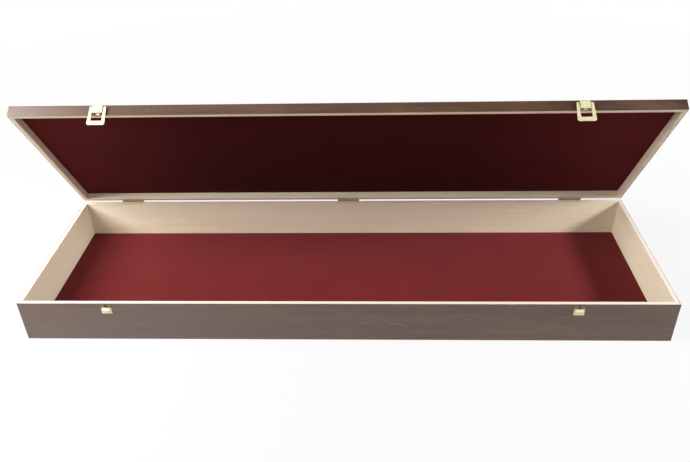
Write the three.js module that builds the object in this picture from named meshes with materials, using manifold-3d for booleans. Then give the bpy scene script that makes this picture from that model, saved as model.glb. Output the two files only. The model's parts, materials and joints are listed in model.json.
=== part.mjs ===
import * as THREE from "three";
import { mergeVertices } from "three/addons/utils/BufferGeometryUtils.js";
import Module from "manifold-3d";

// A long, shallow wooden box with a hinged lid, lined with felt. Millimetres, Z up.
// X runs along the box, -Y is the front with the catches, +Y the back with the hinges.
// The origin is the middle of the underside. The lid stands partly open.

// Box
const boxLength = 1000;
const boxDepth = 305;
const baseHeight = 71.5;
const lidHeight = 18;
const wallThickness = 7;
const bottomThickness = 4;
const lidPanelThickness = 5;
const feltThickness = 1;
const outerRounding = 2;
const rimGap = 0.3; // between the two rims when the lid is shut
const glueGap = 0.3; // between glued or seated pieces of the lid, and round the felt
const lidOpening = 55; // degrees from shut

// Hinges
const hingeInset = 93; // from the end of the box to the middle of the end hinge
const hingeLength = 40;
const leafThickness = 1;
const leafEndClearance = 0.3;
const barrelRadius = 2;
const barrelClearance = 0.3; // from the barrel to the back of the box
const knuckleCount = 5;
const knuckleGap = 0.3;
const pinRadius = 0.8;
const pinClearance = 0.15;
const leafScrewCount = 3;
const leafScrewSpacing = 11.5;

// Countersunk screws in the hinge leaves
const sunkHeadRadius = 1.7;
const sunkShankRadius = 0.8;
const sunkShankLength = 8;

// Domed screws in the catches
const domeHeadRadius = 2.2;
const domeHeadHeight = 1.2;
const domeRimHeight = 0.4; // the straight edge below the dome
const domeCrownRadius = 1.5; // the flat top of the dome
const domeShankRadius = 0.9;
const domeShankLength = 6;

// Screw details
const screwClearance = 0.3;
const slotWidth = 0.45;
const slotDepth = 0.35;

// Catches
const leftCatchInset = 138; // from the left end of the box to the middle of the catch
const rightCatchInset = 146.5;
const leftCatchDrop = 2.2; // from the lid's top to the top of the left plate
const rightCatchDrop = 3.2;
const plateWidth = 14.8;
const plateMetal = 0.7;
const foldRadius = 1.4; // inside the fold that holds the bail
const foldRise = 1.2; // from the bail's pivot up to the middle of the fold
const flapReach = 9.6; // from the bail's pivot down to the flap's edge
const flapPinch = 0.9; // how far the flap leans in towards the box at its edge
const plateFoot = 0.6; // from the lid's rim up to the plate's edge
const plateScrewRise = 2.6; // from the lid's rim up to the screws
const plateScrewSpacing = 9.4;
const bailMetal = 1.1;
const bailTopWidth = 24.4;
const bailBottomWidth = 27.2;
const bailLength = 30.2; // from the pivot to the bottom edge
const bailBarHalf = 0.9; // half the height of the bar in the fold
const bailWindowWidth = 16.6;
const bailWindowReach = 23.4; // from the pivot to the window's lower edge
const bailWindowRounding = 1;
const bailCornerClip = 2.2;
const hookWidth = 15.8;
const hookMetal = 0.7;
const hookTabHeight = 5.2; // from the hook's top edge to where the nose starts
const noseHeight = 3; // from there down to the nose's ledge
const nosePlateHeight = 8.5; // from the ledge down to the hook's bottom edge
const noseProud = 3.9; // from the box to the nose's tip
const latchGap = 0.3; // between the nose's ledge and the bail's bar
const hookScrewDrop = 1.9; // from the hook's top edge to its screw

// Facets
const arcSegments = 4;
const barrelSides = 16;
const screwSides = 12;
const cutMargin = 1; // how far a cutting shape runs past what it cuts

// Places worked out from the sizes
const frontFace = -boxDepth / 2;
const backFace = boxDepth / 2;
const lidRim = baseHeight + rimGap;
const lidTop = lidRim + lidHeight;
const hingeAxisY = backFace + barrelClearance + barrelRadius;
const hingeAxisZ = baseHeight + rimGap / 2;
const pivotOffset = glueGap + plateMetal + foldRadius; // from the box's front to the bail's pivot
const pivotY = frontFace - pivotOffset;
const hinges = [
  { side: "left", x: hingeInset - boxLength / 2 },
  { side: "middle", x: 0 },
  { side: "right", x: boxLength / 2 - hingeInset },
];
const catches = [
  { side: "left", x: leftCatchInset - boxLength / 2, pivotZ: pivotHeight(leftCatchDrop) },
  { side: "right", x: boxLength / 2 - rightCatchInset, pivotZ: pivotHeight(rightCatchDrop) },
];

// How far a screw that points up is turned about X to point its head elsewhere
const turnTo = { up: 0, down: Math.PI, front: Math.PI / 2 };

const stainedWood = new THREE.MeshStandardMaterial({ color: 0x6f6052, roughness: 0.75, metalness: 0 });
const felt = new THREE.MeshStandardMaterial({ color: 0x7d2a2c, roughness: 1, metalness: 0 });
const darkBrass = new THREE.MeshStandardMaterial({ color: 0x7f6a43, roughness: 0.45, metalness: 1 });
const paleBrass = new THREE.MeshStandardMaterial({ color: 0xd8cc96, roughness: 0.35, metalness: 1 });
const darkSteel = new THREE.MeshStandardMaterial({ color: 0x3b3128, roughness: 0.5, metalness: 1 });

const wasm = await Module();
wasm.setup();

function pivotHeight(plateDrop) {
  return lidTop - plateDrop - plateMetal - foldRadius - foldRise;
}

// A closed solid from a geometry, with its doubled vertices joined and its empty faces left out
function solidFrom(geometry) {
  geometry.deleteAttribute("normal");
  geometry.deleteAttribute("uv");
  const merged = mergeVertices(geometry);
  const corners = merged.index.array;
  const triangles = [];
  for (let i = 0; i < corners.length; i += 3) {
    const [a, b, c] = corners.slice(i, i + 3);
    if (a !== b && b !== c && c !== a) triangles.push(a, b, c);
  }
  return new wasm.Manifold(new wasm.Mesh({
    numProp: 3,
    vertProperties: merged.attributes.position.array,
    triVerts: new Uint32Array(triangles),
  }));
}

function meshFrom(name, solid, material) {
  const { vertProperties, triVerts } = solid.getMesh();
  const geometry = new THREE.BufferGeometry();
  geometry.setAttribute("position", new THREE.BufferAttribute(vertProperties, 3));
  geometry.setIndex(new THREE.BufferAttribute(triVerts, 1));
  geometry.computeVertexNormals();
  const mesh = new THREE.Mesh(geometry, material);
  mesh.name = name;
  return mesh;
}

function block(low, high) {
  const size = high.map((value, i) => value - low[i]);
  const geometry = new THREE.BoxGeometry(...size);
  geometry.translate(...low.map((value, i) => value + size[i] / 2));
  return solidFrom(geometry);
}

// A closed outline pushed along an axis, centred on the origin. The outline's own axes are
// Y and Z for a prism along X, X and Z for one along Y, and X and Y for one along Z.
function prism(outline, length, axis) {
  const frames = {
    x: [[0, 1, 0], [0, 0, 1], [1, 0, 0]],
    y: [[1, 0, 0], [0, 0, 1], [0, -1, 0]],
    z: [[1, 0, 0], [0, 1, 0], [0, 0, 1]],
  };
  const basis = frames[axis].map((direction) => new THREE.Vector3(...direction));
  const settings = { depth: length, bevelEnabled: false, curveSegments: arcSegments / 2 };
  const geometry = new THREE.ExtrudeGeometry(outline, settings);
  geometry.translate(0, 0, -length / 2);
  geometry.applyMatrix4(new THREE.Matrix4().makeBasis(...basis));
  return geometry;
}

// A rod or cone along Z, whose radius goes from one value at its low end to another at its high end
function rod(lowRadius, highRadius, low, high, sides) {
  const geometry = new THREE.CylinderGeometry(highRadius, lowRadius, high - low, sides);
  geometry.rotateX(Math.PI / 2);
  geometry.translate(0, 0, (low + high) / 2);
  return geometry;
}

function rodAlongX(radius, low, high, y, z) {
  const geometry = rod(radius, radius, low, high, barrelSides);
  geometry.rotateY(Math.PI / 2);
  geometry.translate(0, y, z);
  return solidFrom(geometry);
}

// An upright outline between two heights, with its own rounding at the bottom and at the top
function roundedOutline(width, low, high, lowRadius, highRadius) {
  const half = width / 2;
  const outline = new THREE.Shape();
  const corner = (x, z, radius, start) => {
    if (radius > 0) outline.absarc(x, z, radius, start, start + Math.PI / 2);
    else outline.lineTo(x, z);
  };
  outline.moveTo(-half, high - highRadius);
  corner(-half + lowRadius, low + lowRadius, lowRadius, Math.PI);
  corner(half - lowRadius, low + lowRadius, lowRadius, 1.5 * Math.PI);
  corner(half - highRadius, high - highRadius, highRadius, 0);
  corner(-half + highRadius, high - highRadius, highRadius, 0.5 * Math.PI);
  outline.closePath();
  return outline;
}

// The outside of the base or the lid, with its outer edges eased
function roundedBody(low, high, lowRadius, highRadius) {
  const plan = roundedOutline(boxLength, frontFace, backFace, outerRounding, outerRounding);
  const across = roundedOutline(boxDepth, low, high, lowRadius, highRadius);
  const along = roundedOutline(boxLength, low, high, lowRadius, highRadius);
  const planGeometry = prism(plan, high - low, "z");
  planGeometry.translate(0, 0, (low + high) / 2);
  return solidFrom(planGeometry)
    .intersect(solidFrom(prism(across, boxLength, "x")))
    .intersect(solidFrom(prism(along, boxDepth, "y")));
}

// Four walls: the front and back run the whole length, and the ends stand between them
function wallRing(low, high, lowRadius, highRadius, gap) {
  const body = roundedBody(low, high, lowRadius, highRadius);
  const outX = boxLength / 2;
  const inX = outX - wallThickness;
  const inFront = frontFace + wallThickness;
  const inBack = backFace - wallThickness;
  const wall = (x0, x1, y0, y1) => body.intersect(block([x0, y0, low], [x1, y1, high]));
  return {
    front: wall(-outX, outX, frontFace, inFront),
    back: wall(-outX, outX, inBack, backFace),
    left: wall(-outX, -inX, inFront + gap, inBack - gap),
    right: wall(inX, outX, inFront + gap, inBack - gap),
  };
}

// A board or a sheet that fills the space inside the walls
function innerSheet(low, high, gap) {
  const x = boxLength / 2 - wallThickness - gap;
  const y = boxDepth / 2 - wallThickness - gap;
  return block([-x, -y, low], [x, y, high]);
}

function screwSlot(headRadius, top) {
  const half = slotWidth / 2;
  return block([-headRadius, -half, top - slotDepth], [headRadius, half, top + slotDepth]);
}

// A screw pointing down its own -Z, with the flat top of its head at zero
function sunkScrew() {
  const head = solidFrom(rod(sunkShankRadius, sunkHeadRadius, -leafThickness, 0, screwSides));
  const neck = -leafThickness - sunkShankLength;
  const shank = solidFrom(rod(sunkShankRadius, sunkShankRadius, neck, -leafThickness / 2, screwSides));
  return head.add(shank).subtract(screwSlot(sunkHeadRadius, 0));
}

// A screw pointing down its own -Z, with the underside of its head at zero
function domeScrew() {
  const rim = domeRimHeight;
  const head = solidFrom(rod(domeHeadRadius, domeHeadRadius, 0, rim, screwSides));
  const dome = solidFrom(rod(domeHeadRadius, domeCrownRadius, rim, domeHeadHeight, screwSides));
  const shank = solidFrom(rod(domeShankRadius, domeShankRadius, -domeShankLength, rim, screwSides));
  return head.add(dome).add(shank).subtract(screwSlot(domeHeadRadius, domeHeadHeight));
}

// What a screw passes through: its hole in the wood or metal, turned and placed as the screw is
function screwHole(lowRadius, highRadius, low, high, facing, place) {
  const geometry = rod(lowRadius, highRadius, low, high, screwSides);
  geometry.rotateX(turnTo[facing]);
  geometry.translate(...place);
  return solidFrom(geometry);
}

function placedScrew(name, solid, material, facing, place) {
  const mesh = meshFrom(name, solid, material);
  mesh.rotation.x = turnTo[facing];
  mesh.position.set(...place);
  return mesh;
}

// Screw places along one leaf, with the head's top in the leaf's face
function leafScrewPlaces(hinge, above) {
  const z = above ? lidRim : baseHeight;
  const y = backFace - wallThickness / 2;
  return Array.from({ length: leafScrewCount }, (_, i) => {
    const step = i - (leafScrewCount - 1) / 2;
    return [hinge.x + step * leafScrewSpacing, y, z];
  });
}

// One leaf with its knuckles: the base's leaf has the first, third and fifth, the lid's the others
function hingeLeaf(hinge, above) {
  const zFace = above ? lidRim : baseHeight;
  const zBack = above ? zFace + leafThickness : zFace - leafThickness;
  const low = Math.min(zFace, zBack);
  const high = Math.max(zFace, zBack);
  const start = hinge.x - hingeLength / 2;
  const knuckle = (hingeLength - (knuckleCount - 1) * knuckleGap) / knuckleCount;
  const inner = backFace - wallThickness;
  let leaf = block([start, inner, low], [start + hingeLength, backFace, high]);
  for (let i = above ? 1 : 0; i < knuckleCount; i += 2) {
    const from = start + i * (knuckle + knuckleGap);
    const to = from + knuckle;
    const tab = block([from, inner, low], [to, hingeAxisY, high]);
    leaf = leaf.add(tab).add(rodAlongX(barrelRadius, from, to, hingeAxisY, hingeAxisZ));
  }
  const boreRadius = pinRadius + pinClearance;
  const boreEnd = start + hingeLength + cutMargin;
  leaf = leaf.subtract(rodAlongX(boreRadius, start - cutMargin, boreEnd, hingeAxisY, hingeAxisZ));
  const facing = above ? "down" : "up";
  for (const place of leafScrewPlaces(hinge, above)) {
    const narrow = sunkShankRadius + screwClearance;
    const wide = sunkHeadRadius + screwClearance;
    leaf = leaf.subtract(screwHole(narrow, wide, -leafThickness, 0, facing, place));
  }
  return leaf;
}

// The notch for a leaf and the screw holes below it, taken out of a back wall
function cutForHinge(wall, hinge, above, seat) {
  const floor = leafThickness + seat;
  const low = above ? lidRim - rimGap : baseHeight - floor;
  const high = above ? lidRim + floor : baseHeight + rimGap;
  const half = hingeLength / 2 + leafEndClearance;
  const inner = backFace - wallThickness - cutMargin;
  const notch = block([hinge.x - half, inner, low], [hinge.x + half, backFace + cutMargin, high]);
  let cut = wall.subtract(notch);
  const facing = above ? "down" : "up";
  const radius = sunkShankRadius + screwClearance;
  const depth = -leafThickness - sunkShankLength - screwClearance;
  for (const place of leafScrewPlaces(hinge, above)) {
    cut = cut.subtract(screwHole(radius, radius, depth, 0, facing, place));
  }
  return cut;
}

// The catch plate, folded over the bail's bar, as it is seen from the end
function catchPlate({ x, pivotZ }) {
  const inner = foldRadius;
  const outer = foldRadius + plateMetal;
  const foot = lidRim + plateFoot;
  const foldZ = pivotZ + foldRise;
  const outline = new THREE.Shape();
  outline.moveTo(pivotY + outer, foot);
  outline.lineTo(pivotY + outer, foldZ);
  outline.absarc(pivotY, foldZ, outer, 0, Math.PI);
  outline.lineTo(pivotY - outer + flapPinch, pivotZ - flapReach);
  outline.lineTo(pivotY - inner + flapPinch, pivotZ - flapReach);
  outline.lineTo(pivotY - inner, foldZ);
  outline.absarc(pivotY, foldZ, inner, Math.PI, 0, true);
  outline.lineTo(pivotY + inner, foot);
  outline.closePath();
  const geometry = prism(outline, plateWidth, "x");
  geometry.translate(x, 0, 0);
  let plate = solidFrom(geometry);
  for (const place of plateScrewPlaces({ x })) plate = plate.subtract(domeHole(place));
  return plate;
}

function plateScrewPlaces({ x }) {
  const seat = frontFace - glueGap - plateMetal - glueGap;
  return [-1, 1].map((side) => [x + side * plateScrewSpacing / 2, seat, lidRim + plateScrewRise]);
}

function hookScrewPlace({ x, pivotZ }) {
  return [x, frontFace - hookMetal - glueGap, hookTop(pivotZ) - hookScrewDrop];
}

function domeHole(place) {
  const radius = domeShankRadius + screwClearance;
  return screwHole(radius, radius, -domeShankLength - screwClearance, screwClearance, "front", place);
}

// The bail: a flat frame that lies along the lid's front, drawn with the pivot at the origin
function bail() {
  const top = bailTopWidth / 2;
  const bottom = bailBottomWidth / 2;
  const outline = new THREE.Shape();
  outline.moveTo(-top, bailBarHalf);
  outline.lineTo(-bottom, bailCornerClip - bailLength);
  outline.lineTo(bailCornerClip - bottom, -bailLength);
  outline.lineTo(bottom - bailCornerClip, -bailLength);
  outline.lineTo(bottom, bailCornerClip - bailLength);
  outline.lineTo(top, bailBarHalf);
  outline.closePath();
  const frame = solidFrom(prism(outline, bailMetal, "y"));
  const opening = roundedOutline(
    bailWindowWidth, -bailWindowReach, -bailBarHalf, bailWindowRounding, 0);
  return frame.subtract(solidFrom(prism(opening, 2 * bailMetal, "y")));
}

// The nose's ledge lies just above the bail's bottom bar when the lid is shut and latched
function noseLedge(pivotZ) {
  return pivotZ - bailWindowReach + latchGap;
}

function hookTop(pivotZ) {
  return noseLedge(pivotZ) + noseHeight + hookTabHeight;
}

// The hook: a strip down the box, folded out into a nose and back again below its screw
function catchHook({ x, pivotZ }) {
  const top = hookTop(pivotZ);
  const bend = top - hookTabHeight;
  const ledge = noseLedge(pivotZ);
  const bottom = ledge - nosePlateHeight;
  const face = frontFace - hookMetal;
  const tip = frontFace - noseProud;
  const slope = (noseProud - hookMetal) / noseHeight;
  const slant = hookMetal * Math.hypot(1, slope); // the sloping metal, measured straight out from the box
  const outline = new THREE.Shape();
  outline.moveTo(frontFace, top);
  outline.lineTo(frontFace, bend - (slant - hookMetal) / slope);
  outline.lineTo(face - slope * (noseHeight - hookMetal) + slant, ledge + hookMetal);
  outline.lineTo(frontFace, ledge + hookMetal);
  outline.lineTo(frontFace, bottom);
  outline.lineTo(face, bottom);
  outline.lineTo(face, ledge);
  outline.lineTo(tip, ledge);
  outline.lineTo(face, bend);
  outline.lineTo(face, top);
  outline.closePath();
  const geometry = prism(outline, hookWidth, "x");
  geometry.translate(x, 0, 0);
  return solidFrom(geometry).subtract(domeHole(hookScrewPlace({ x, pivotZ })));
}

function buildHinge(hinge, baseGroup, lidGroup) {
  const name = `hinge_${hinge.side}`;
  baseGroup.add(meshFrom(`${name}_base_leaf`, hingeLeaf(hinge, false), darkBrass));
  lidGroup.add(meshFrom(`${name}_lid_leaf`, hingeLeaf(hinge, true), darkBrass));
  const half = hingeLength / 2;
  const pin = rodAlongX(pinRadius, hinge.x - half, hinge.x + half, hingeAxisY, hingeAxisZ);
  baseGroup.add(meshFrom(`${name}_pin`, pin, darkBrass));
  leafScrewPlaces(hinge, false).forEach((place, i) => {
    baseGroup.add(placedScrew(`${name}_base_screw_${i + 1}`, sunkScrew(), darkBrass, "up", place));
  });
  leafScrewPlaces(hinge, true).forEach((place, i) => {
    lidGroup.add(placedScrew(`${name}_lid_screw_${i + 1}`, sunkScrew(), darkBrass, "down", place));
  });
}

function buildCatch(fitting, baseGroup, lidGroup) {
  const name = `catch_${fitting.side}`;
  lidGroup.add(meshFrom(`${name}_plate`, catchPlate(fitting), paleBrass));
  plateScrewPlaces(fitting).forEach((place, i) => {
    lidGroup.add(placedScrew(`${name}_plate_screw_${i + 1}`, domeScrew(), darkSteel, "front", place));
  });
  const bailMesh = meshFrom(`${name}_bail`, bail(), paleBrass);
  bailMesh.position.set(fitting.x, pivotY, fitting.pivotZ);
  lidGroup.add(bailMesh);
  baseGroup.add(meshFrom(`${name}_hook`, catchHook(fitting), paleBrass));
  const place = hookScrewPlace(fitting);
  baseGroup.add(placedScrew(`${name}_hook_screw`, domeScrew(), darkSteel, "front", place));
}

function buildBase(group) {
  const walls = wallRing(0, baseHeight, outerRounding, 0, 0);
  for (const hinge of hinges) walls.back = cutForHinge(walls.back, hinge, false, 0);
  for (const fitting of catches) walls.front = walls.front.subtract(domeHole(hookScrewPlace(fitting)));
  for (const side of Object.keys(walls)) group.add(meshFrom(`base_${side}_wall`, walls[side], stainedWood));
  group.add(meshFrom("base_bottom_panel", innerSheet(0, bottomThickness, 0), stainedWood));
  const feltLow = bottomThickness + glueGap;
  group.add(meshFrom("base_felt", innerSheet(feltLow, feltLow + feltThickness, glueGap), felt));
}

function buildLid(group) {
  const rails = wallRing(lidRim, lidTop, 0, outerRounding, glueGap);
  for (const hinge of hinges) rails.back = cutForHinge(rails.back, hinge, true, glueGap);
  for (const fitting of catches) {
    for (const place of plateScrewPlaces(fitting)) rails.front = rails.front.subtract(domeHole(place));
  }
  for (const side of Object.keys(rails)) group.add(meshFrom(`lid_${side}_rail`, rails[side], stainedWood));
  const panelLow = lidTop - lidPanelThickness;
  group.add(meshFrom("lid_panel", innerSheet(panelLow, lidTop, glueGap), stainedWood));
  const feltHigh = panelLow - glueGap;
  group.add(meshFrom("lid_felt", innerSheet(feltHigh - feltThickness, feltHigh, glueGap), felt));
}

// The lid is drawn shut, then turned about the hinge pins
function lidTurn(lidGroup) {
  const turn = new THREE.Group();
  turn.position.set(0, hingeAxisY, hingeAxisZ);
  turn.rotation.x = THREE.MathUtils.degToRad(-lidOpening);
  lidGroup.position.set(0, -hingeAxisY, -hingeAxisZ);
  turn.add(lidGroup);
  return turn;
}

const box = new THREE.Group();
const baseGroup = new THREE.Group();
const lidGroup = new THREE.Group();
buildBase(baseGroup);
buildLid(lidGroup);
for (const hinge of hinges) buildHinge(hinge, baseGroup, lidGroup);
for (const fitting of catches) buildCatch(fitting, baseGroup, lidGroup);
box.add(baseGroup, lidTurn(lidGroup));

export default box;
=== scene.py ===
import json
from math import pi, radians, sin

import bmesh
import bpy
from mathutils import Matrix, Vector


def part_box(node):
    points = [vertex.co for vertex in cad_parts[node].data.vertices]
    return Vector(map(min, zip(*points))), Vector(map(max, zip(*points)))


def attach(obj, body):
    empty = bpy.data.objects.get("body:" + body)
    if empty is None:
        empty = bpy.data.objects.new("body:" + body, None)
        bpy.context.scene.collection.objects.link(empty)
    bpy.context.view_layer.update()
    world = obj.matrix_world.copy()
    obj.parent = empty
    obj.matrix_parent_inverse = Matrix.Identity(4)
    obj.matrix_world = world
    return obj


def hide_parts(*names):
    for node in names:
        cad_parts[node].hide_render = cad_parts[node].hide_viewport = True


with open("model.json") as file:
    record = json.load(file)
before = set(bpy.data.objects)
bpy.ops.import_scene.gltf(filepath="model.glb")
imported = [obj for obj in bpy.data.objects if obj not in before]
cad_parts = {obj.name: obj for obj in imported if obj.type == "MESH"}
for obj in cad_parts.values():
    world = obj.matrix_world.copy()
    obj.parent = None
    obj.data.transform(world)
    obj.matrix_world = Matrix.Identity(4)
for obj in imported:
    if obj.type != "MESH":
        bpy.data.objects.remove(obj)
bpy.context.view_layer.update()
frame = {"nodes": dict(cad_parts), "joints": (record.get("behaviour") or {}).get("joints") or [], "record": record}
print("frame loaded:", len(frame["nodes"]), "nodes")

scene = bpy.context.scene
joints = {joint["name"]: joint for joint in frame["joints"]}
mm = 0.001

box = {
    "length": 1.0,
    "depth": 0.305,
    "wall": 0.007,
    "rim": 0.0715,  # top of the base's walls
    "lidRim": 0.0718,  # underside of the lid's rails with the lid shut
    "lidTop": 0.0898,
}
frontFace = -box["depth"] / 2
lidOpening = -joints["lid_hinge"]["range_deg"][0]  # degrees from shut
hingeAxis = Vector(joints["lid_hinge"]["pos_m"])


def turnAbout(point, degrees):
    turn = Matrix.Rotation(radians(degrees), 4, "X")
    return Matrix.Translation(point) @ turn @ Matrix.Translation(-point)


openLid = turnAbout(hingeAxis, -lidOpening)  # from the shut lid to the lid as it stands
shutLid = openLid.inverted()


# Materials


def paint(red, green, blue):
    parts = [value / 255 for value in (red, green, blue)]
    linear = [v / 12.92 if v <= 0.04045 else ((v + 0.055) / 1.055) ** 2.4 for v in parts]
    return (*linear, 1)


class Wire:  # one output of a node; sums on it add Math nodes
    def __init__(self, nodes, socket):
        self.nodes = nodes
        self.socket = socket

    def maths(self, operation, *values):
        return self.nodes.node("ShaderNodeMath", {"operation": operation}, values)

    def __add__(self, other):
        return self.maths("ADD", self, other)

    def __sub__(self, other):
        return self.maths("SUBTRACT", self, other)

    def __rsub__(self, other):
        return self.maths("SUBTRACT", other, self)

    def __mul__(self, other):
        return self.maths("MULTIPLY", self, other)

    def __truediv__(self, other):
        return self.maths("DIVIDE", self, other)

    __radd__ = __add__
    __rmul__ = __mul__

    def least(self, other):
        return self.maths("MINIMUM", self, other)

    def most(self, other):
        return self.maths("MAXIMUM", self, other)

    def size(self):
        return self.maths("ABSOLUTE", self)

    def rise(self, low, high, start=0.0, end=1.0):  # smooth, and flat outside low to high
        return self.nodes.node(
            "ShaderNodeMapRange",
            {"interpolation_type": "SMOOTHSTEP"},
            {"Value": self, "From Min": low, "From Max": high, "To Min": start, "To Max": end},
        )


class Nodes:  # a node tree, and the one way in which its nodes are made
    def __init__(self, tree):
        self.tree = tree

    def fill(self, socket, value):
        if isinstance(value, Wire):
            self.tree.links.new(value.socket, socket)
        else:
            socket.default_value = value

    def node(self, kind, settings=None, sockets=(), out=0):
        made = self.tree.nodes.new(kind)
        for name, value in (settings or {}).items():
            setattr(made, name, value)
        pairs = sockets.items() if isinstance(sockets, dict) else enumerate(sockets)
        for name, value in pairs:
            self.fill(made.inputs[name], value)
        return Wire(self, made.outputs[out])

    def split(self, place):
        parts = self.node("ShaderNodeSeparateXYZ", sockets=[place])
        return [Wire(self, output) for output in parts.socket.node.outputs]

    def rays(self, *names):  # 1 for these kinds of ray, and 0 for the others
        path = self.node("ShaderNodeLightPath").socket.node
        total, *others = [Wire(self, path.outputs[name]) for name in names]
        for kind in others:
            total = total.most(kind)
        return total


class Finish(Nodes):  # a material
    def __init__(self, name, shader):
        self.material = bpy.data.materials.new(name)
        self.material.use_nodes = True
        super().__init__(self.material.node_tree)
        self.tree.nodes.clear()
        self.shader = self.tree.nodes.new("ShaderNodeBsdfPrincipled")
        self.output = self.tree.nodes.new("ShaderNodeOutputMaterial")
        self.tree.links.new(self.shader.outputs["BSDF"], self.output.inputs["Surface"])
        self.paintWith(shader)

    def paintWith(self, sockets):
        for name, value in sockets.items():
            self.fill(self.shader.inputs[name], value)

    def place(self, lid):  # where a point is with the lid shut, in metres
        here = self.node("ShaderNodeTexCoord", out="Object")
        if not lid:
            return here
        return self.node(
            "ShaderNodeMapping",
            sockets={
                "Vector": here,
                "Location": shutLid.translation,
                "Rotation": shutLid.to_euler(),
            },
        )

    def stretch(self, place, scale, shift=(0, 0, 0)):
        return self.node(
            "ShaderNodeMapping",
            sockets={"Vector": place, "Location": shift, "Scale": scale},
        )

    def noise(self, place, scale, detail=4, roughness=0.5, distortion=0.0):
        return self.node(
            "ShaderNodeTexNoise",
            sockets={
                "Vector": place,
                "Scale": scale,
                "Detail": detail,
                "Roughness": roughness,
                "Distortion": distortion,
            },
        )

    def blend(self, mask, first, second):
        return self.node(
            "ShaderNodeMix",
            {"data_type": "RGBA", "clamp_factor": True},
            {0: mask, 6: first, 7: second},
            out=2,
        )

    def bump(self, height, strength, distance):
        return self.node(
            "ShaderNodeBump",
            sockets={"Height": height, "Strength": strength, "Distance": distance},
        )


woodColours = {
    "stain": paint(88, 62, 46),
    "stainDark": paint(76, 52, 37),
    # The paler stain of the grain, also used as a painted highlight on the lid's left end
    "stainLight": paint(104, 77, 59),
    "scratch": paint(158, 134, 112),
    "faded": paint(112, 93, 83),  # painted highlight: the left end of the base, greyer where the left lamp's sheen falls on the varnish
    # A darker stain on the lid; towards the right end it also carries painted shade
    "lidStain": paint(72, 46, 29),
    "lidEnd": paint(50, 30, 22),  # painted shade: the right end of the lid, darker where less light reaches it
    "rim": paint(226, 212, 200),
    "lidRim": paint(244, 220, 194),
    "bare": paint(240, 227, 201),
    "bareDark": paint(232, 214, 184),
    "bareLight": paint(243, 232, 211),
}

grain = {
    "lengthwise": 7,  # how fine the fibres are along a board, and across it
    "across": 260,
    "poreFineness": 4,  # times as fine as the fibres
    "bandFineness": 0.16,
    "streakFineness": 0.5,
    "streakEven": 8,  # makes the streaks less drawn out
    "seep": 0.35 * mm,  # how unevenly the stain ends at an edge
    "stainDepth": (0.75 * mm, 1.05 * mm),  # from the outside, where the stain ends
    "rimDepth": (0.6 * mm, 0.3 * mm),  # from the rim, where its own colour ends
    "frontDepth": (1.2 * mm, 0.8 * mm),  # from the front, where the scratches end
    "relief": 0.12 * mm,
}

# Middle and height of each scratch on the front, then its length, width, slope and bend
scratches = {
    "base": (
        (0.077, 0.0345, 0.014, 1.1 * mm, 0.02, -8),
        (0.090, 0.0310, 0.021, 1.3 * mm, -0.35, -14),
        (0.032, 0.0350, 0.013, 1.0 * mm, -0.1, 0),
        (0.191, 0.0430, 0.012, 0.9 * mm, 0.05, -6),
        (0.214, 0.0125, 0.011, 1.0 * mm, -0.3, 0),
        (-0.001, 0.0540, 0.022, 0.7 * mm, 0.12, 5),
    ),
    "lid": (
        (-0.287, 0.0800, 0.007, 1.0 * mm, -0.2, 0),
        (0.115, 0.0785, 0.024, 0.9 * mm, 0.08, 4),
        (-0.175, 0.0750, 0.006, 0.9 * mm, 0.1, 0),
    ),
}


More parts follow.
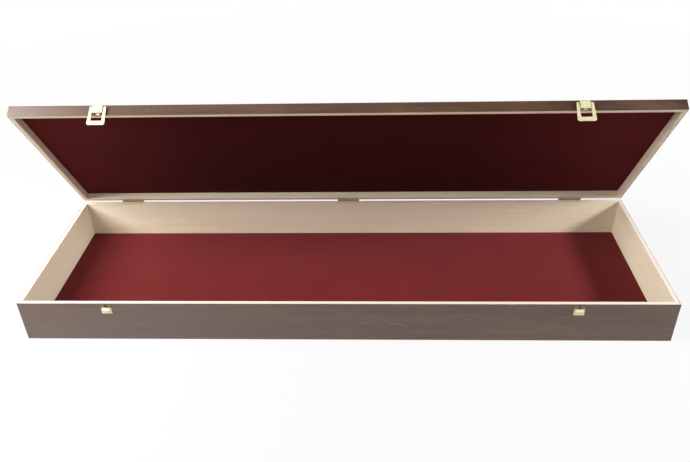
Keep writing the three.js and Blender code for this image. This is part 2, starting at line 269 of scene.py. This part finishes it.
def woodFinish(name, lid, along, shift):
    # Stained and varnished on the outside, bare inside and on the rims
    wood = Finish(name, {"Specular IOR Level": 0.15, "Coat Roughness": 0.3, "Coat IOR": 1.6})
    place = wood.place(lid)
    x, y, z = wood.split(place)
    fromEnd = box["length"] / 2 - x.size()
    fromFace = box["depth"] / 2 - y.size()
    fromSole = box["lidTop"] - z if lid else z
    fromRim = z - box["lidRim"] if lid else box["rim"] - z
    seep = wood.noise(place, 500, 3) * grain["seep"]
    outside = fromEnd.least(fromFace).least(fromSole) + seep
    stained = 1 - outside.rise(*grain["stainDepth"])

    lengthwise, across = grain["lengthwise"], grain["across"]
    fibre = (lengthwise, across, across) if along == "x" else (across, lengthwise, across)
    pore = [grain["poreFineness"] * fineness for fineness in fibre]
    band = [grain["bandFineness"] * fineness for fineness in fibre]
    streak = [grain["streakFineness"] * fineness + grain["streakEven"] for fineness in fibre]
    fibres = wood.noise(wood.stretch(place, fibre, shift), 1, 6, 0.6)
    pores = wood.noise(wood.stretch(place, pore, shift), 1, 3, 0.6)
    bands = wood.noise(wood.stretch(place, band, shift), 1, 5, 0.55, 0.4)
    streaks = wood.noise(wood.stretch(place, streak, shift), 1, 5, 0.65, 0.3)
    clouds = wood.noise(place, 11, 4, 0.6)
    wear = wood.noise(place, 60, 5, 0.65)

    stain = wood.blend(fibres.rise(0.35, 0.7), woodColours["stainDark"], woodColours["stain"])
    # Painted highlight: the left end of the front is paler, where the left lamp lights it and shines in the
    # varnish, on the base and on the lid
    leftHighlightMask = x.rise(0.25, -0.5)
    stain = wood.blend(leftHighlightMask * 0.7, stain, woodColours["stainLight" if lid else "faded"])
    if lid:
        # Painted shade: the lid's front grows darker towards its right end, where the light falls off
        rightShadeMask = x.rise(0.1, 0.5)
        stain = wood.blend(0.35 + rightShadeMask * 0.5, stain, woodColours["lidStain"])
        stain = wood.blend(x.rise(0.22, 0.46) * 0.8, stain, woodColours["lidEnd"])
    stain = wood.blend(bands.rise(0.45, 0.75) * 0.45, stain, woodColours["stainLight"])
    stain = wood.blend(clouds.rise(0.45, 0.7) * 0.5, stain, woodColours["stainLight"])
    stain = wood.blend(streaks.rise(0.5, 0.68) * 0.5, stain, woodColours["stainLight"])
    stain = wood.blend(streaks.rise(0.5, 0.32) * 0.5, stain, woodColours["stainDark"])
    front = fromFace.rise(*grain["frontDepth"]) * y.rise(0.01, -0.01)
    for middle, height, length, width, slope, bend in scratches["lid" if lid else "base"]:
        # A short thin ellipse, bent a little and frayed by the grain
        far = x - middle
        off = z - height - far * slope - far * far * bend + (pores - 0.5) * 1.2 * mm
        far = far / (length / 2)
        off = off / (width / 2)
        marked = (far * far + off * off).rise(1.1, 0.4) * front * fibres.rise(0.35, 0.55, 0.4, 1)
        stain = wood.blend(marked * 0.75, stain, woodColours["scratch"])

    bare = wood.blend(fibres.rise(0.3, 0.7) * 0.6, woodColours["bare"], woodColours["bareDark"])
    bare = wood.blend(bands.rise(0.4, 0.7) * 0.6, bare, woodColours["bareLight"])
    bare = wood.blend(clouds.rise(0.4, 0.7) * 0.35, bare, woodColours["bareDark"])
    rim = woodColours["lidRim" if lid else "rim"]
    bare = wood.blend(fromRim.rise(*grain["rimDepth"]), bare, rim)

    wood.paintWith({
        "Base Color": wood.blend(stained, bare, stain),
        "Roughness": 0.66 - stained * 0.14 + wear * 0.1,
        "Coat Weight": stained,
        "Normal": wood.bump(fibres * 0.5 + pores * 0.3 + wear * 0.2, 0.25, grain["relief"]),
    })
    return wood


feltColours = {  # dark and light fibres, then worn places
    "base": (paint(95, 24, 26), paint(109, 31, 32), paint(114, 34, 35)),
    # The lid's felt is the base's felt, painted darker as painted shade
    "lid": (paint(58, 14, 14), paint(68, 17, 17), paint(72, 19, 19)),
    # Painted light: the lid's felt is lighter towards both ends, where the side lamps reach it
    "lidEnds": paint(96, 30, 31),
}


def feltFinish(name, lid):
    # Pressed wool: fibres that lie every way, in small clouds of colour
    felt = Finish(name, {
        "Specular IOR Level": 0.05 if lid else 0.12,
        "Sheen Weight": 0.03 if lid else 0.1,
        "Sheen Roughness": 0.4,
    })
    place = felt.place(lid)
    curls = felt.noise(place, 900, 4, 0.7, 1.5)
    tufts = felt.noise(place, 260, 3, 0.6, 0.6)
    clouds = felt.noise(place, 14, 3)
    dark, light, worn = feltColours["lid" if lid else "base"]
    colour = felt.blend(curls.rise(0.3, 0.7), dark, light)
    # Painted shade in the middle of the lid's felt and painted light towards its ends
    if lid:
        x, y, z = felt.split(place)
        colour = felt.blend(x.size().rise(0.15, 0.5) * 0.9, colour, feltColours["lidEnds"])
    colour = felt.blend(clouds.rise(0.35, 0.7) * 0.3, colour, worn)
    felt.paintWith({
        "Base Color": colour,
        "Roughness": 0.88 + tufts * 0.12,
        "Normal": felt.bump(curls * 0.6 + tufts * 0.4, 0.5, 0.25 * mm),
    })
    return felt


plating = {
    "pale_brass": {
        "bright": paint(228, 219, 178),
        "dull": paint(212, 198, 150),
        "roughness": 0.45,
        "metallic": 0.4,
    },
    "dark_brass": {
        "bright": paint(226, 208, 182),
        "dull": paint(192, 172, 142),
        "roughness": 0.42,
        "metallic": 0.2,
    },
    "dark_steel": {
        "bright": paint(82, 68, 56),
        "dull": paint(44, 36, 30),
        "roughness": 0.5,
        "metallic": 0.8,
    },
}
hookRoughness = 0.4
# Painted shade for brass: the hinges' knuckles and the hooks' tabs
paintedShade = paint(116, 96, 62)


def metalFinish(name, lid, look, shadedWhere=None):
    # Plated sheet: fine rubbing marks along X, dull in small clouds, with painted shade where the given mask is 1
    metal = Finish(name, {"Metallic": look["metallic"]})
    place = metal.place(lid)
    rubbed = metal.noise(metal.stretch(place, (300, 2500, 2500)), 1, 4, 0.6)
    clouds = metal.noise(place, 320, 4, 0.6)
    colour = metal.blend(clouds.rise(0.45, 0.75) * 0.6, look["bright"], look["dull"])
    if shadedWhere:
        colour = metal.blend(shadedWhere(*metal.split(place)) * 0.9, colour, paintedShade)
    metal.paintWith({
        "Base Color": colour,
        "Roughness": look["roughness"] + rubbed * 0.1 + clouds * 0.08,
        "Normal": metal.bump(rubbed, 0.1, 0.02 * mm),
    })
    return metal


def behindBox(x, y, z):  # where the hinges' knuckles are, painted darker than the leaves as painted shade
    return y.rise(box["depth"] / 2 - 0.4 * mm, box["depth"] / 2 + 0.2 * mm)


metals = {}
for slot, look in plating.items():
    shadedWhere = behindBox if slot == "dark_brass" else None
    for lid in (False, True):
        name = f"{slot} on the {'lid' if lid else 'base'}"
        metals[slot, lid] = metalFinish(name, lid, look, shadedWhere)
print("finishes made")


# Pieces


def smoothFaces(mesh, sharp=35):
    mesh.polygons.foreach_set("use_smooth", [True] * len(mesh.polygons))
    mesh.set_sharp_from_angle(angle=radians(sharp))


def addPiece(name, bm, body, node, finish, sharp=35):
    mesh = bpy.data.meshes.new(name)
    bm.to_mesh(mesh)
    bm.free()
    mesh.materials.append(finish.material)
    piece = bpy.data.objects.new(name, mesh)
    scene.collection.objects.link(piece)
    smoothFaces(mesh, sharp)
    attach(piece, body)
    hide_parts(node)
    return piece


def pieceName(node):  # base_front_wall becomes baseFrontWall
    first, *others = node.split("_")
    return first + "".join(word.capitalize() for word in others)


def settle(piece):  # the piece keeps the mesh that its modifiers give
    graph = bpy.context.evaluated_depsgraph_get()
    mesh = bpy.data.meshes.new_from_object(piece.evaluated_get(graph))
    piece.modifiers.clear()
    piece.data = mesh


def evenShading(piece):  # flat faces stay flat beside their rounded edges
    weighted = piece.modifiers.new("normals", "WEIGHTED_NORMAL")
    weighted.keep_sharp = True
    weighted.weight = 100
    settle(piece)


def cutAway(piece, cutter):  # the cutter is a bmesh, used up here
    blade = bpy.data.objects.new("blade", bpy.data.meshes.new("blade"))
    cutter.to_mesh(blade.data)
    cutter.free()
    scene.collection.objects.link(blade)
    cut = piece.modifiers.new("cut", "BOOLEAN")
    cut.object = blade
    cut.operation = "DIFFERENCE"
    cut.solver = "EXACT"
    settle(piece)
    smoothFaces(piece.data)
    bpy.data.objects.remove(blade)


def sharpEdges(bm, degrees):
    return [e for e in bm.edges if e.is_manifold and e.calc_face_angle(0) > radians(degrees)]


def roundEdges(bm, edges, width, segments):
    if edges:
        bmesh.ops.bevel(
            bm, geom=edges, offset=width, segments=segments, profile=0.5,
            affect="EDGES", clamp_overlap=True, material=-1,
        )


def addBlock(bm, low, high):
    low = Vector(low)
    high = Vector(high)
    made = bmesh.ops.create_cube(bm, size=1)["verts"]
    bmesh.ops.scale(bm, vec=high - low, verts=made)
    bmesh.ops.translate(bm, vec=(low + high) / 2, verts=made)


board = {
    "rounding": 2 * mm,  # of the box's outer edges
    "roundSteps": 5,
    "arris": 0.22 * mm,  # how far the other edges are eased
    "glue": 0.3 * mm,  # between the lid's boards
    "bottom": 4 * mm,
    "lidPanel": 5 * mm,
    "leaf": 1 * mm,  # how deep the hinge leaves lie in the rim
    "leafGap": 0.3 * mm,
}


def wallCorners(low, high, gap):
    # Low and high corners of four walls between two heights: front and back run the whole length
    half = Vector((box["length"] / 2, box["depth"] / 2))
    inner = half - Vector((box["wall"], box["wall"]))
    ends = inner.y - gap
    return {
        "front": ((-half.x, -half.y, low), (half.x, -inner.y, high)),
        "back": ((-half.x, inner.y, low), (half.x, half.y, high)),
        "left": ((-half.x, -ends, low), (-inner.x, ends, high)),
        "right": ((inner.x, -ends, low), (half.x, ends, high)),
    }


def panelCorners(low, high, gap):
    x = box["length"] / 2 - box["wall"] - gap
    y = box["depth"] / 2 - box["wall"] - gap
    return (-x, -y, low), (x, y, high)


def facesOutside(face, lid):  # whether it lies on the outside of the box
    centre = face.calc_center_median()
    fromEnd = box["length"] / 2 - abs(centre.x)
    fromFace = box["depth"] / 2 - abs(centre.y)
    fromSole = abs(centre.z - (box["lidTop"] if lid else 0))
    return min(fromEnd, fromFace, fromSole) < 0.01 * mm


def isEnd(face, along):  # whether it is the end of a board that stands between two others
    return along == "y" and abs(face.normal.y) > 0.9


def hingeNotches(lid):  # what the hinge leaves take out of the back rim
    cutter = bmesh.new()
    gap = board["leafGap"]
    back = box["depth"] / 2
    front = back - box["wall"] - gap
    low = box["lidRim"] - gap if lid else box["rim"] - board["leaf"]
    high = box["lidRim"] + board["leaf"] + gap if lid else box["rim"] + gap
    for side in ("left", "middle", "right"):
        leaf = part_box(f"hinge_{side}_{'lid' if lid else 'base'}_leaf")
        addBlock(cutter, (leaf[0][0] - gap, front, low), (leaf[1][0] + gap, back + gap, high))
    return cutter


def addBoard(node, low, high, along, shift):
    lid = node.startswith("lid")
    bm = bmesh.new()
    addBlock(bm, low, high)
    bm.normal_update()
    outer = []
    eased = []
    for edge in bm.edges:
        upright = abs(edge.verts[0].co.z - edge.verts[1].co.z) > box["wall"]
        if all(facesOutside(face, lid) for face in edge.link_faces):
            outer.append(edge)
        elif not upright and not any(isEnd(face, along) for face in edge.link_faces):
            eased.append(edge)
    roundEdges(bm, eased, board["arris"], 1)
    roundEdges(bm, [edge for edge in outer if edge.is_valid], board["rounding"], board["roundSteps"])
    cutters = [hingeNotches(lid)] if node.endswith(("back_wall", "back_rail")) else []
    if lid:
        for mesh in (bm, *cutters):
            bmesh.ops.transform(mesh, matrix=openLid, verts=mesh.verts)
    finish = woodFinish(node, lid, along, shift)
    body = "lid" if lid else "base"
    piece = addPiece(pieceName(node), bm, body, node, finish)
    for cutter in cutters:
        cutAway(piece, cutter)
    evenShading(piece)


walls = wallCorners(0, box["rim"], 0)
rails = wallCorners(box["lidRim"], box["lidTop"], board["glue"])
grainShifts = {  # each board is cut from its own stretch of wood
    "front": (0.0, 0.0, 0.0),
    "back": (3.1, 7.7, 1.3),
    "left": (5.2, 2.1, 4.4),
    "right": (8.6, 3.9, 2.7),
    "bottom": (1.9, 9.2, 6.1),
    "lidPanel": (4.7, 5.4, 7.2),
}
lidShift = 6.4
for side in walls:
    along = "x" if side in ("front", "back") else "y"
    shift = grainShifts[side]
    addBoard(f"base_{side}_wall", *walls[side], along, shift)
    addBoard(f"lid_{side}_rail", *rails[side], along, [value + lidShift for value in shift])
bottom = panelCorners(0, board["bottom"], 0)
addBoard("base_bottom_panel", *bottom, "x", grainShifts["bottom"])
lidPanel = panelCorners(box["lidTop"] - board["lidPanel"], box["lidTop"], board["glue"])
addBoard("lid_panel", *lidPanel, "x", grainShifts["lidPanel"])
print("boards made")

feltSheet = {
    "thick": 0.9 * mm,
    "glue": 0.35 * mm,  # between the felt and its board
    "clearance": 0.5 * mm,  # all round, to the walls
    "ripple": 0.12 * mm,
    "cell": 6 * mm,
    "edge": 0.25 * mm,  # how far the cut edge is rounded
}


def ripple(x, y):  # from 0 to 1, in long shallow waves
    wave = sin(31 * x + 1.3) * sin(23 * y + 0.4) + 0.6 * sin(67 * x - 41 * y)
    return 0.5 * (1 + wave / 1.6)


def addFelt(body, low):
    # A thin sheet cut to fit between the walls, lying almost flat, with soft cut edges
    lid = body == "lid"
    inset = box["wall"] + feltSheet["clearance"]
    half = Vector((box["length"] / 2 - inset, box["depth"] / 2 - inset))
    columns = round(2 * half.x / feltSheet["cell"])
    rows = round(2 * half.y / feltSheet["cell"])
    bm = bmesh.new()
    bmesh.ops.create_grid(bm, x_segments=columns, y_segments=rows, size=1)
    for vert in bm.verts:
        x = vert.co.x * half.x
        y = vert.co.y * half.y
        vert.co = (x, y, low + feltSheet["ripple"] * ripple(x, y))
    extruded = bmesh.ops.extrude_face_region(bm, geom=bm.faces[:])
    top = [item for item in extruded["geom"] if isinstance(item, bmesh.types.BMVert)]
    bmesh.ops.translate(bm, verts=top, vec=(0, 0, feltSheet["thick"] - feltSheet["ripple"]))
    bmesh.ops.recalc_face_normals(bm, faces=bm.faces)
    roundEdges(bm, sharpEdges(bm, 60), feltSheet["edge"], 2)
    if lid:
        bmesh.ops.transform(bm, matrix=openLid, verts=bm.verts)
    name = f"{body}Felt"
    piece = addPiece(name, bm, body, f"{body}_felt", feltFinish(name, lid), 80)


panelUnderside = box["lidTop"] - board["lidPanel"]
addFelt("base", board["bottom"] + feltSheet["glue"])
addFelt("lid", panelUnderside - feltSheet["glue"] - feltSheet["thick"])
print("felt laid")

catch = {
    "gap": 0.3 * mm,
    "edge": 0.14 * mm,  # how far stamped edges are rounded
    "plateWidth": 14.8 * mm,
    "plateMetal": 0.7 * mm,
    "foldRadius": 1.4 * mm,  # inside
    "foldRise": 1.2 * mm,  # from the pivot up to the middle of the fold
    "foldSteps": 14,
    "flapReach": 9.6 * mm,
    "flapPinch": 0.9 * mm,
    "plateFoot": 0.6 * mm,
    "plateScrewRise": 2.6 * mm,
    "plateScrewSpacing": 9.4 * mm,
    "bailMetal": 1.1 * mm,
    "bailTop": 24.4 * mm,
    "bailBottom": 27.2 * mm,
    "bailLength": 30.2 * mm,
    "barHalf": 0.9 * mm,
    "windowWidth": 16.6 * mm,
    "windowReach": 23.4 * mm,
    "windowRounding": 1 * mm,
    "cornerClip": 2.2 * mm,
    "hookWidth": 15.8 * mm,
    "tongueWidth": 10.5 * mm,
    "hookMetal": 0.7 * mm,
    "hookTab": 5.2 * mm,
    "noseHeight": 3 * mm,
    "nosePlate": 8.5 * mm,
    "noseProud": 3.9 * mm,
    "hookScrewDrop": 1.9 * mm,
}


def startStrip(width, y, z):
    bm = bmesh.new()
    ends = [bm.verts.new((side * width / 2, y, z)) for side in (-1, 1)]
    return bm, bm.edges.new(ends)


def drawStrip(bm, edge, y, z):  # on to a place
    made = bmesh.ops.extrude_edge_only(bm, edges=[edge])["geom"]
    verts = [item for item in made if isinstance(item, bmesh.types.BMVert)]
    for vert in verts:
        vert.co.y = y
        vert.co.z = z
    return next(e for e in bm.edges if set(e.verts) == set(verts))


def bendStrip(bm, edge, y, z, degrees, steps):  # round a centre
    made = bmesh.ops.spin(
        bm, geom=[edge, *edge.verts], cent=(0, y, z), axis=(1, 0, 0),
        angle=radians(degrees), steps=steps,
    )["geom_last"]
    return next(item for item in made if isinstance(item, bmesh.types.BMEdge))


def thicken(piece, metal):
    solid = piece.modifiers.new("metal", "SOLIDIFY")
    solid.thickness = metal
    solid.offset = 0
    solid.use_even_offset = True
    eased = piece.modifiers.new("edges", "BEVEL")
    eased.width = catch["edge"]
    eased.segments = 2
    eased.limit_method = "ANGLE"
    eased.angle_limit = radians(50)
    settle(piece)
    smoothFaces(piece.data)
    evenShading(piece)


def addPlate(name, node, pivot):
    # Up the rail, over the bail's bar and down again in a flap that leans in
    middle = catch["foldRadius"] + catch["plateMetal"] / 2
    rise = catch["foldRise"]
    bm, edge = startStrip(catch["plateWidth"], middle, box["lidRim"] + catch["plateFoot"] - pivot.z)
    edge = drawStrip(bm, edge, middle, rise)
    edge = bendStrip(bm, edge, 0, rise, 180, catch["foldSteps"])
    drawStrip(bm, edge, catch["flapPinch"] - middle, -catch["flapReach"])
    bmesh.ops.transform(bm, matrix=openLid @ Matrix.Translation(pivot), verts=bm.verts)
    piece = addPiece(name, bm, "lid", node, metals["pale_brass", True])
    thicken(piece, catch["plateMetal"])


def addBail(name, node, pivot, body):
    # A stamped frame with its lower corners clipped and those of its window rounded
    top = catch["bailTop"] / 2
    bottom = catch["bailBottom"] / 2
    reach = catch["bailLength"]
    clip = catch["cornerClip"]
    half = catch["windowWidth"] / 2
    low = catch["windowReach"]
    rounding = catch["windowRounding"]
    outside = [(bottom - clip, -reach), (bottom, clip - reach), (top, catch["barHalf"])]
    window = [
        (half - rounding + rounding * sin(a), rounding - low - rounding * sin(pi / 2 - a))
        for a in (0.0, pi / 8, pi / 4, 3 * pi / 8)
    ]
    window += [(half, rounding - low), (half, -catch["barHalf"])]
    bm = bmesh.new()
    edges = []
    for rightHalf in (outside, window):
        ring = rightHalf + [(-x, z) for x, z in reversed(rightHalf)]
        verts = [bm.verts.new((x, 0, z)) for x, z in ring]
        edges += [bm.edges.new((verts[i - 1], verts[i])) for i in range(len(verts))]
    bmesh.ops.triangle_fill(bm, edges=edges, use_beauty=True, use_dissolve=False)
    bmesh.ops.transform(bm, matrix=openLid @ Matrix.Translation(pivot), verts=bm.verts)
    piece = addPiece(name, bm, body, node, metals["pale_brass", True])
    thicken(piece, catch["bailMetal"])


def addHook(name, node, pivot):
    # A plate down the box, with a tongue pressed out of its middle to hold the bail
    metal = catch["hookMetal"]
    ledge = pivot.z - catch["windowReach"] + catch["gap"]
    bend = ledge + catch["noseHeight"]
    top = bend + catch["hookTab"]
    middle = frontFace - metal / 2
    bm, edge = startStrip(catch["hookWidth"], middle, top)
    drawStrip(bm, edge, middle, ledge - catch["nosePlate"])
    tongue, edge = startStrip(catch["tongueWidth"], middle, bend - 0.15 * metal)
    edge = drawStrip(tongue, edge, frontFace - catch["noseProud"] + 0.9 * metal, ledge + metal / 2)
    drawStrip(tongue, edge, middle, ledge + metal / 2)
    pressed = bpy.data.meshes.new("tongue")
    tongue.to_mesh(pressed)
    tongue.free()
    bm.from_mesh(pressed)
    bpy.data.meshes.remove(pressed)
    bmesh.ops.translate(bm, vec=(pivot.x, 0, 0), verts=bm.verts)

    def aboveBend(x, y, z):  # the tab is darker than the tongue, as painted shade
        return z.rise(bend - 0.5 * mm, bend + 0.3 * mm)

    look = {**plating["pale_brass"], "roughness": hookRoughness}
    finish = metalFinish(f"pale_brass of the {name}", False, look, aboveBend)
    piece = addPiece(name, bm, "base", node, finish)
    thicken(piece, metal)
    return Vector((pivot.x, frontFace - metal - catch["gap"], top - catch["hookScrewDrop"]))


screw = {
    "headRadius": 2.2 * mm,
    "rim": 0.4 * mm,
    "height": 1.2 * mm,
    "shankRadius": 0.9 * mm,
    "shankLength": 6 * mm,
    "slotWidth": 0.45 * mm,
    "slotDepth": 0.4 * mm,
    "turns": {"plate_1": 35, "plate_2": 110, "hook": 20},  # which way the slots point, in degrees
}


def addScrew(name, node, place, body, turn):
    # Spun from its half profile, then slotted; it points out of the box along -Y
    radius = screw["headRadius"]
    rim = screw["rim"]
    height = screw["height"]
    shank = screw["shankRadius"]
    point = -screw["shankLength"]
    dome = [
        (radius * sin(a), rim + (height - rim) * sin(pi / 2 - a))
        for a in (0.0, pi / 12, pi / 6, pi / 4, pi / 3, 5 * pi / 12, pi / 2)
    ]
    profile = [*dome, (radius, 0), (shank, 0), (shank, point), (0, point)]
    bm = bmesh.new()
    verts = [bm.verts.new((r, 0, z)) for r, z in profile]
    edges = [bm.edges.new(pair) for pair in zip(verts, verts[1:])]
    bmesh.ops.spin(
        bm, geom=verts + edges, cent=(0, 0, 0), axis=(0, 0, 1),
        angle=2 * pi, steps=32, use_merge=True,
    )
    bmesh.ops.remove_doubles(bm, verts=bm.verts, dist=0.001 * mm)
    bmesh.ops.recalc_face_normals(bm, faces=bm.faces)
    cutter = bmesh.new()
    slotSize = (4 * radius, screw["slotWidth"], 2 * screw["slotDepth"])
    bmesh.ops.create_cube(cutter, size=1)
    bmesh.ops.scale(cutter, vec=slotSize, verts=cutter.verts)
    bmesh.ops.translate(cutter, vec=(0, 0, height), verts=cutter.verts)
    outward = Matrix.Rotation(pi / 2, 4, "X") @ Matrix.Rotation(radians(turn), 4, "Z")
    facing = Matrix.Translation(place) @ outward
    if body == "lid":
        facing = openLid @ facing
    for mesh in (bm, cutter):
        bmesh.ops.transform(mesh, matrix=facing, verts=mesh.verts)
    piece = addPiece(name, bm, body, node, metals["dark_steel", body == "lid"])
    cutAway(piece, cutter)


for side in ("left", "right"):
    node = f"catch_{side}"
    pivot = shutLid @ Vector(joints[f"{side}_bail_pivot"]["pos_m"])
    addPlate(f"{side}Plate", f"{node}_plate", pivot)
    addBail(f"{side}Bail", f"{node}_bail", pivot, f"{side}_bail")
    hookScrew = addHook(f"{side}Hook", f"{node}_hook", pivot)
    seat = frontFace - catch["plateMetal"] - 2 * catch["gap"]
    for number, way in ((1, -1), (2, 1)):
        x = pivot.x + way * catch["plateScrewSpacing"] / 2
        place = Vector((x, seat, box["lidRim"] + catch["plateScrewRise"]))
        turn = screw["turns"][f"plate_{number}"]
        addScrew(f"{side}PlateScrew{number}", f"{node}_plate_screw_{number}", place, "lid", turn)
    addScrew(f"{side}HookScrew", f"{node}_hook_screw", hookScrew, "base", screw["turns"]["hook"])
print("catches made")


def refineHinge(node, body):
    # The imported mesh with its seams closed, so that round parts are smooth and arrises eased
    bm = bmesh.new()
    bm.from_mesh(frame["nodes"][node].data)
    bmesh.ops.remove_doubles(bm, verts=bm.verts, dist=0.002 * mm)
    bmesh.ops.dissolve_limit(bm, angle_limit=radians(1), verts=bm.verts, edges=bm.edges)
    roundEdges(bm, sharpEdges(bm, 50), 0.08 * mm, 1)
    addPiece(pieceName(node), bm, body, node, metals["dark_brass", body == "lid"])


for body in ("base", "lid"):
    for node in frame["record"]["behaviour"]["bodies"][body]:
        if node.startswith("hinge"):
            refineHinge(node, body)
print("hinges made")


# Studio

lamps = {  # place, what it points at, size in metres, power in watts
    "left high": ((-1.1, -0.35, 1.2), (-0.36, 0, 0.1), 0.45, 15),
    "left low": ((-1.3, -0.35, 0.75), (-0.4, 0, 0.1), 0.4, 18.5),
    "right": ((1.6, -0.35, 0.92), (0.5, 0, 0.1), 0.3, 29),
    "overhead": ((0, 0.6, 1.8), (0, 0, 0.1), 0.8, 2.5),
    "front fill": ((0, -1.8, 0.5), (0, 0, 0.1), 1.2, 4.5),
}


def addLamp(name, place, target, size, power):
    light = bpy.data.lights.new(name, "AREA")
    light.shape = "SQUARE"
    light.size = size
    light.energy = power
    lamp = bpy.data.objects.new(name, light)
    lamp.location = place
    lamp.rotation_euler = (Vector(target) - Vector(place)).to_track_quat("-Z", "Y").to_euler()
    scene.collection.objects.link(lamp)


for name, (place, target, size, power) in lamps.items():
    addLamp(name, place, target, size, power)

surroundings = {
    "white": (1, 1, 1, 1),
    "dim": 0.07,  # strength of the world as a light
    "floorHalf": 6,
    "floorDrop": 0.2 * mm,
    "paperSeen": (0.62, 0.62, 0.62, 1),
    "paperLit": (0.5, 0.5, 0.5, 1),
}


def addWorld():
    # White all round where it is seen, darker overhead in a reflection, and dim as a light
    world = bpy.data.worlds.new("studio")
    scene.world = world
    world.use_nodes = True
    sky = Nodes(world.node_tree)
    background = world.node_tree.nodes["Background"]
    up = sky.split(sky.node("ShaderNodeTexCoord"))[2]
    mirrored = sky.rays("Is Glossy Ray", "Is Transmission Ray") * up.rise(0.25, 0.6, 1, 0.1)
    strength = sky.rays("Is Camera Ray").most(mirrored).most(surroundings["dim"])
    sky.fill(background.inputs["Color"], surroundings["white"])
    sky.fill(background.inputs["Strength"], strength)


def paperFinish():
    # Seen as white with a faint shadow, and throws less light back than white paper would
    paper = Finish("paper", {"Roughness": 0.9, "Specular IOR Level": 0.2})
    seen = paper.rays("Is Camera Ray", "Is Glossy Ray", "Is Transmission Ray")
    here = paper.node("ShaderNodeTexCoord", out="Object")
    away = paper.node("ShaderNodeVectorMath", {"operation": "LENGTH"}, [here], out=1)
    x, y, z = paper.split(here)
    lift = y.rise(0.1, 0.6, 0.8, 0.97).most(away.rise(0.9, 1.8, 0.8, 1))
    colour = paper.blend(seen, surroundings["paperLit"], surroundings["paperSeen"])
    paper.paintWith({"Base Color": colour})
    white = {"Color": surroundings["white"], "Strength": 1}
    glow = paper.node("ShaderNodeEmission", sockets=white)
    plain = Wire(paper, paper.shader.outputs["BSDF"])
    mixed = paper.node("ShaderNodeMixShader", sockets=[seen * lift, plain, glow])
    paper.fill(paper.output.inputs["Surface"], mixed)
    return paper


def addFloor():
    bm = bmesh.new()
    bmesh.ops.create_grid(bm, x_segments=1, y_segments=1, size=surroundings["floorHalf"])
    mesh = bpy.data.meshes.new("floor")
    bm.to_mesh(mesh)
    bm.free()
    mesh.materials.append(paperFinish().material)
    floor = bpy.data.objects.new("floor", mesh)
    floor.location.z = -surroundings["floorDrop"]
    scene.collection.objects.link(floor)


addWorld()
addFloor()

view = {
    "place": (0.05106, -0.98074, 0.7413),
    "turn": (56.9866, 1.4926, 2.0225),  # degrees
    "sensor": 36,
    "lens": 36.84,
}
camera = bpy.data.objects.new("camera", bpy.data.cameras.new("camera"))
camera.location = view["place"]
camera.rotation_euler = [radians(angle) for angle in view["turn"]]
camera.data.sensor_width = view["sensor"]
camera.data.lens = view["lens"]
scene.collection.objects.link(camera)
scene.camera = camera
scene.view_settings.view_transform = "Standard"
print("studio set")
